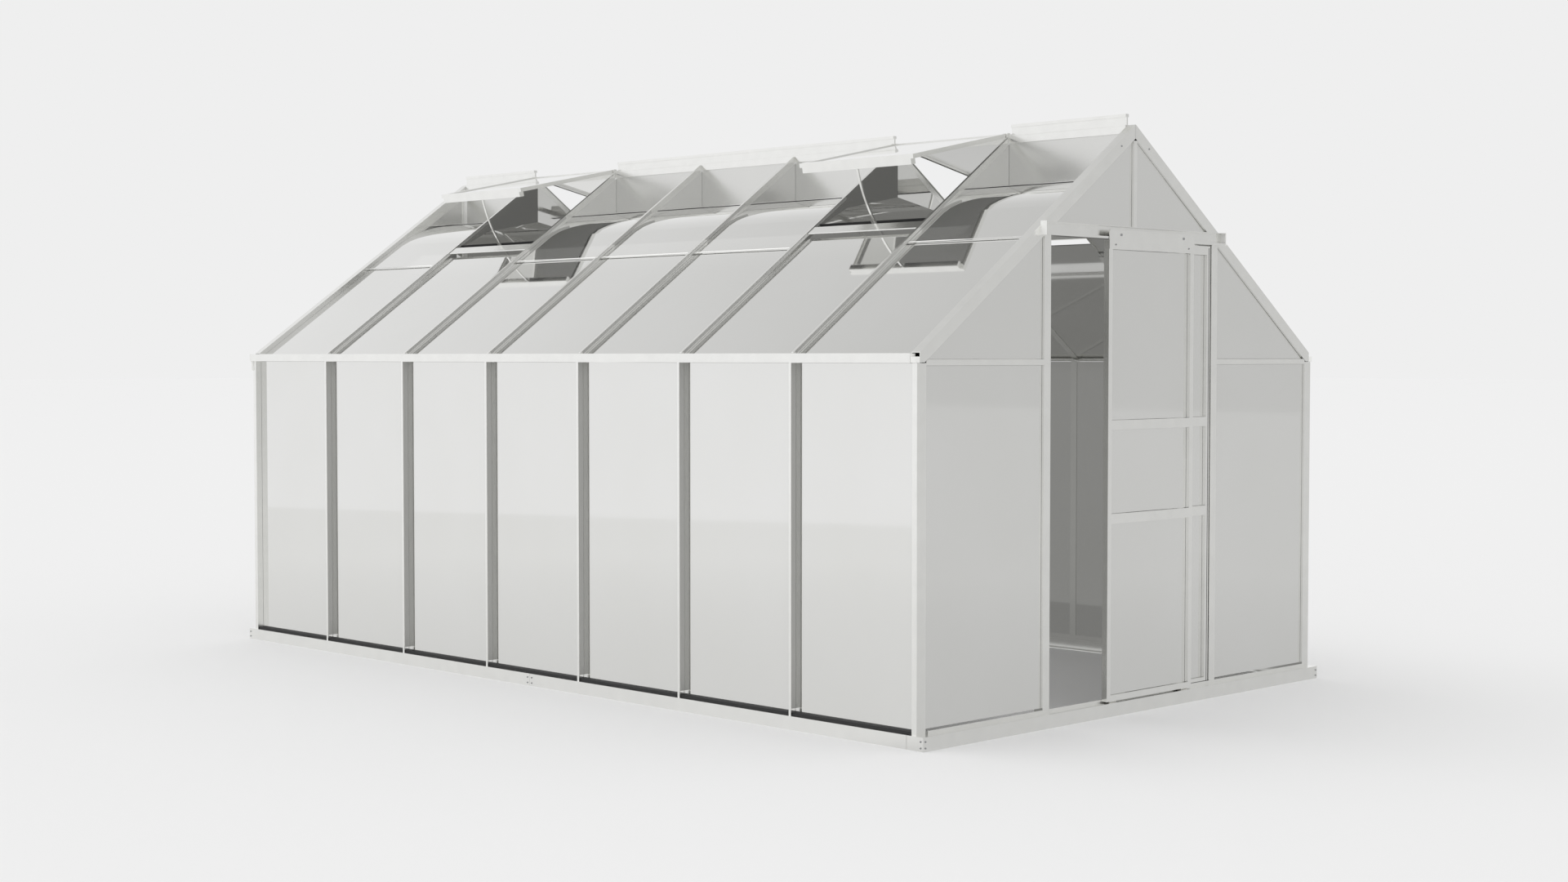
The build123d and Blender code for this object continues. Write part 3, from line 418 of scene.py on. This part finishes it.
def make_door_fittings():
    """Nylon guides under the leaves and brush seals down their stiles."""
    guide_l, guide_in, play, edge = 45 * MM, 20 * MM, 0.6 * MM, 3 * MM
    brush_w, brush_t, brush_in = 3 * MM, 0.4 * MM, 8 * MM
    for leaf, sill_z in (("outer", base_high[2]), ("inner", base_high[2] + 2 * MM)):
        low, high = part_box(f"{leaf}_door_stiles")
        form = bmesh.new()
        for x0 in (low[0] + guide_in, high[0] - guide_in - guide_l):
            add_block(form, (x0, low[1] + edge, sill_z + play), (x0 + guide_l, high[1] - edge, low[2]),
                      0.8 * MM)
        hang(f"{leaf}_door_guides", form, nylon, f"{leaf}_door")
        form = bmesh.new()
        y = high[1] if leaf == "outer" else low[1]
        a, b = sorted((y, y + (brush_t if leaf == "outer" else -brush_t)))
        for x0 in (low[0] + brush_in, high[0] - brush_in - brush_w):
            add_block(form, (x0, a, low[2] + brush_in), (x0 + brush_w, b, high[2] - brush_in), 0.1 * MM)
        hang(f"{leaf}_door_brush_seals", form, rubber, f"{leaf}_door")


def make_gutter_outlets():
    """A round outlet under the rear end of each gutter, with its locking ring."""
    form = bmesh.new()
    pipe_r, pipe_t, pipe_l, ring_r, ring_t, inset = 9 * MM, 2 * MM, 45 * MM, 11 * MM, 5 * MM, 12 * MM
    for sx in SIDES:
        centre = Vector((sx * (gutter_high[0] - inset), gutter_high[1] - inset, gutter_low[2]))
        add_ring(form, centre, (0, 0, -1), pipe_r - pipe_t, pipe_r, pipe_l)
        add_ring(form, centre, (0, 0, -1), pipe_r, ring_r, ring_t)
    hang("gutter_outlets", form, cap_white, "frame")


make_post_caps()
make_base_screw_heads()
make_hanger_screw_heads()
make_ridge_trim()
make_lap_seals()
make_wall_seals()
make_bar_shade_liners()
make_vent_seals()
make_vent_fittings()
make_door_fittings()
make_gutter_outlets()


# ---------------------------------------------------------------- stage, light and camera
def stage_plane(name, corners, height, upright=False):
    """A flat stage piece from its corners on the floor, or stood up in the plane of the ridge."""
    mesh = bpy.data.meshes.new(name)
    form = bmesh.new()
    form.faces.new([form.verts.new((x, y, height)) for x, y in corners])
    if upright:
        bmesh.ops.rotate(form, verts=form.verts, cent=(0, 0, 0),
                         matrix=Matrix(((0, 0, 1), (1, 0, 0), (0, 1, 0))))
    form.to_mesh(mesh)
    form.free()
    plane = bpy.data.objects.new(name, mesh)
    scene.collection.objects.link(plane)
    return plane


def oblong(half_x, low_y, high_y):
    """The corners of an oblong about the Y axis."""
    return [(-half_x, low_y), (half_x, low_y), (half_x, high_y), (-half_x, high_y)]


def reflection_card(name, corners, height, upright=False):
    """A stage card that only reflections see, glowing with a painted tone, and its material's tree, shader
    and object coordinates.
    """
    card = stage_plane(name, corners, height, upright)
    for flag in ("visible_camera", "visible_diffuse", "visible_shadow", "visible_transmission"):
        setattr(card, flag, False)
    paint, tree, shader, place = new_material(name)
    # the card glows: its emission carries the painted tone, and its base stays black
    shader.inputs["Base Color"].default_value = srgb("#000000")
    shader.inputs["Specular IOR Level"].default_value = 0.0
    shader.inputs["Emission Strength"].default_value = 1.0
    card.data.materials.append(paint)
    return tree, shader, place


FLOOR_REACH = 120.0
floor = stage_plane("studio_floor", oblong(FLOOR_REACH, -FLOOR_REACH, FLOOR_REACH), 0.0)
floor.visible_glossy = False
paint, _, shader, _ = new_material("matt_white_floor")
shader.inputs["Roughness"].default_value = 1.0
shader.inputs["Specular IOR Level"].default_value = 0.0
shader.inputs["Base Color"].default_value = srgb("#F0F0F0")
floor.data.materials.append(paint)

# a card on the floor, glowing with a painted grey tone, gives the walls a painted reflection of a darker
# floor in their lower half. Its left edge leans along a line through two far points, and it is carried past
# both. Its tone is painted shade, darker towards the house, with painted shadow on the door's side
lean, (near_x, near_y), (far_x, far_y), past_near, past_far = 0.437, (-8.99, 4.49), (-6.46, 10.28), 8, 20
left_edge = [(near_x - lean * past_near, near_y - past_near), (far_x + lean * past_far, far_y + past_far)]
tree, shader, place = reflection_card("outside_painted_reflection_card", left_edge + [(40, 30), (40, -40), (-12.5, -40)], 1 * MM)
reach = add_node(tree, "VectorMath", {"operation": "LENGTH"}, i0=place)
# painted shade: the card's glowing tone darkens towards the house over its first seven metres
near_house_painted_shade = add_node(tree, "MapRange", {"From Min": 1.3, "From Max": 7.0}, Value=reach.outputs["Value"])
ramp = add_node(tree, "ValToRGB", Fac=near_house_painted_shade.outputs["Result"])
ramp.color_ramp.elements[0].color = srgb("#D9D9D8")
ramp.color_ramp.elements[1].color = srgb("#E7E7E6")
# painted shadow: the tone is multiplied darker on the door's side of the house, away from the key light
across = add_node(tree, "VectorMath", {"operation": "DOT_PRODUCT", 1: (1.0, -1.0, 0.0)}, i0=place)
door_side_painted_shadow = add_node(tree, "MapRange", {"From Min": 0.5, "From Max": 1.1}, Value=across.outputs["Value"])
shade = add_node(tree, "MixRGB", {"blend_type": "MULTIPLY", "Color2": srgb("#E4E4E4")},
                 Fac=door_side_painted_shadow.outputs["Result"], Color1=ramp.outputs["Color"])
tree.links.new(shade.outputs["Color"], shader.inputs["Emission Color"])

# inside the house the panes show each other's reflections of a glowing card whose dim tone is painted shade,
# standing in for the shaded floor
_, shader, _ = reflection_card("inside_painted_shade_card", oblong(1.2, -2.14, 2.14), 2 * MM)
shader.inputs["Emission Color"].default_value = srgb("#7C7C7A")
# and an upright glowing card under the ridge stops them seeing out through the far vents; its tone is painted
# shade, darker near the ridge
tree, shader, place = reflection_card("middle_painted_shade_card", oblong(2.1, 0.05, 2.26), 0.0, upright=True)
rise = add_node(tree, "SeparateXYZ", Vector=place).outputs["Z"]
ridge_painted_shade = add_node(tree, "MapRange", {"From Min": 1.3, "From Max": 1.9}, Value=rise)
ramp = add_node(tree, "ValToRGB", Fac=ridge_painted_shade.outputs["Result"])
ramp.color_ramp.elements[0].color = srgb("#8A8A88")
ramp.color_ramp.elements[1].color = srgb("#5E5E5C")
tree.links.new(ramp.outputs["Color"], shader.inputs["Emission Color"])

# the dome in reflections: bright low down beyond the rear gable, darker overhead and on the door's side
world = bpy.data.worlds.new("studio_dome")
scene.world = world
world.use_nodes = True
tree = world.node_tree
backdrop = tree.nodes["Background"]
way = add_node(tree, "TexCoord").outputs["Generated"]
height = add_node(tree, "SeparateXYZ", Vector=way).outputs["Z"]
towards = add_node(tree, "VectorMath", {"operation": "DOT_PRODUCT", 1: (0.17, 0.985, 0.0)}, i0=way)
behind = add_node(tree, "MapRange", {"interpolation_type": "SMOOTHSTEP", "From Min": -0.3, "From Max": 0.5},
                  Value=towards.outputs["Value"])
low = add_node(tree, "MapRange", {"interpolation_type": "SMOOTHSTEP", "From Min": 0.42, "From Max": 0.76,
                                  "To Min": 1.0, "To Max": 0.0}, Value=height)
lit = add_node(tree, "Math", {"operation": "MULTIPLY"}, i0=behind.outputs["Result"], i1=low.outputs["Result"])
dome = add_node(tree, "MixRGB", {"Color1": srgb("#C8C8C7"), "Color2": srgb("#EFEFEF")},
                Fac=lit.outputs["Value"])
# matt surfaces are lit evenly from all round, and the backdrop shows one even tone
ray = add_node(tree, "LightPath")
even = add_node(tree, "MixRGB", {"Color2": srgb("#F5F5F5"), "use_clamp": True},
                Fac=ray.outputs["Diffuse Depth"], Color1=dome.outputs["Color"])
shown = add_node(tree, "MixRGB", {"Color2": srgb("#EFEFEF")}, Fac=ray.outputs["Is Camera Ray"],
                 Color1=even.outputs["Color"])
tree.links.new(shown.outputs["Color"], backdrop.inputs["Color"])


def stage_light(name, kind, energy):
    """A light that shows in no reflection."""
    light = bpy.data.objects.new(name, bpy.data.lights.new(name, kind))
    light.data.energy = energy
    light.visible_glossy = False
    light.visible_camera = False
    scene.collection.objects.link(light)
    return light


soft_key = stage_light("soft_key", "SUN", 0.35)
soft_key.data.angle = math.radians(50)
soft_key.rotation_euler = (math.radians(35), 0, math.radians(-150))

inside_fill = stage_light("inside_fill", "AREA", 15.0)
inside_fill.data.shape = "RECTANGLE"
inside_fill.data.size, inside_fill.data.size_y = 1.4, 3.6
inside_fill.location = (0, 0, 1.9)

camera = bpy.data.objects.new("camera", bpy.data.cameras.new("camera"))
camera.data.sensor_width = 36.0
camera.data.lens = 50.70
camera.location = (-7.080, -7.365, 1.394)
camera.rotation_euler = (math.radians(87.81), 0.0, math.radians(-44.80))
scene.collection.objects.link(camera)
scene.camera = camera
scene.view_settings.view_transform = "Standard"
